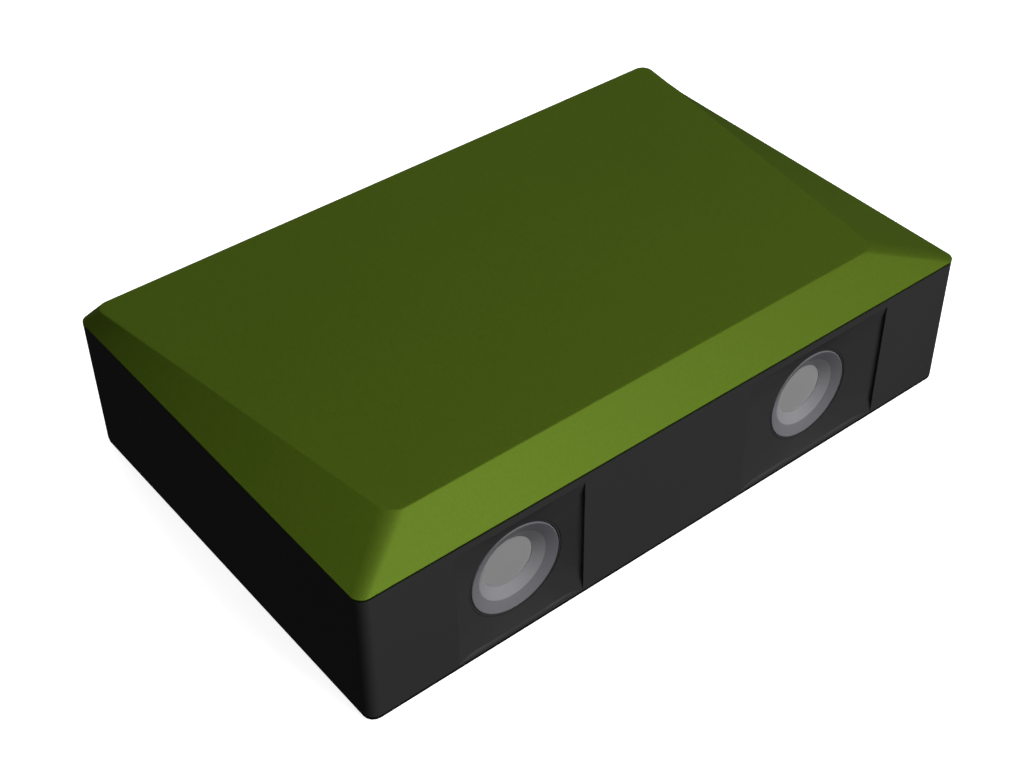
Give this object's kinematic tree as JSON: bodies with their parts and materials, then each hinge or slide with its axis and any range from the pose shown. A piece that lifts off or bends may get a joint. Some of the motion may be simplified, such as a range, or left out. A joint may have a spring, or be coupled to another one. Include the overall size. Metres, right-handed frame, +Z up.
{
  "type": "three-d scanner",
  "caption": "Desk-top structured-light three-d scanner: low dark case, bevelled green cover, two windows in front with a lens in a flared grey ring in each.",
  "frame": {"origin": "middle of the overall footprint, on the surface that the rubber feet stand on", "axes": "+Z up, -Y the way the lenses look, +X to the right seen from the front"},
  "size_m": [0.2, 0.1306, 0.048],
  "materials": {
    "base_plastic": "fine moulded texture, dark grey",
    "cover_green": "satin olive green",
    "brass_insert": "turned",
    "bench_aluminium": "milled, plain",
    "cast_grey": "die cast, bead blasted",
    "black_metal": "black anodised",
    "board_green": "laminate with green lacquer",
    "chip_black": "moulded chip housing",
    "lamp_white": "white lacquer",
    "fan_plastic": "moulded",
    "screw_steel": "plain steel",
    "socket_plastic": "moulded",
    "button_plastic": "smooth, slightly domed edge",
    "lead_white": "flat ribbon",
    "hood_grey": "turned, satin grey anodised, lighter on the inner cone",
    "lens_glass": "polished, coated",
    "seal_rubber": "soft, dull",
    "foot_rubber": "soft, dull"
  },
  "bodies": {
    "body": {"base_housing": "base_plastic", "bench_screw_1": "screw_steel", "bench_screw_2": "screw_steel", "bench_screw_3": "screw_steel", "bench_screw_4": "screw_steel", "board_screw_1": "screw_steel", "board_screw_2": "screw_steel", "board_screw_3": "screw_steel", "board_screw_4": "screw_steel", "camera_board": "board_green", "camera_body": "black_metal", "camera_front_lens": "lens_glass", "camera_lens_barrel": "black_metal", "camera_lens_hood": "hood_grey", "camera_lens_seal": "seal_rubber", "camera_lock_ring": "screw_steel", "camera_mount": "cast_grey", "camera_mount_screw_1": "screw_steel", "camera_mount_screw_2": "screw_steel", "camera_rear_lens": "lens_glass", "camera_ribbon": "lead_white", "camera_stop_ring": "black_metal", "control_board": "board_green", "cover_screw_1": "screw_steel", "cover_screw_2": "screw_steel", "cover_screw_3": "screw_steel", "cover_screw_4": "screw_steel", "dc_inlet": "socket_plastic", "engine_screw_1": "screw_steel", "engine_screw_2": "screw_steel", "fan_frame": "fan_plastic", "fan_lead": "fan_plastic", "image_sensor": "chip_black", "led_board": "lamp_white", "led_emitter": "lamp_white", "led_heat_sink": "bench_aluminium", "light_modulator": "chip_black", "modulator_board": "board_green", "modulator_ribbon": "lead_white", "optical_bench": "bench_aluminium", "power_switch": "socket_plastic", "processor": "chip_black", "processor_heat_sink": "bench_aluminium", "projector_engine": "cast_grey", "projector_front_lens": "lens_glass", "projector_lens_barrel": "black_metal", "projector_lens_hood": "hood_grey", "projector_lens_seal": "seal_rubber", "projector_lock_ring": "screw_steel", "projector_rear_lens": "lens_glass", "projector_stop_ring": "black_metal", "rubber_foot_1": "foot_rubber", "rubber_foot_2": "foot_rubber", "rubber_foot_3": "foot_rubber", "rubber_foot_4": "foot_rubber", "top_cover": "cover_green", "tripod_insert": "brass_insert", "usb_socket": "screw_steel"},
    "button": {"power_button": "button_plastic"},
    "rotor": {"fan_rotor": "fan_plastic"}
  },
  "joints": [
    {"name": "power_button_press", "type": "slide", "parent": "body", "child": "button", "axis": [0, -1, 0], "range_m": [0, 0.001], "stiffness_N_per_m": 800, "springref_m": -0.0005},
    {"name": "fan_spin", "type": "hinge", "parent": "body", "child": "rotor", "pos_m": [0.0467, 0.0553, 0.0216], "axis": [0, 1, 0], "continuous": true}
  ]
}
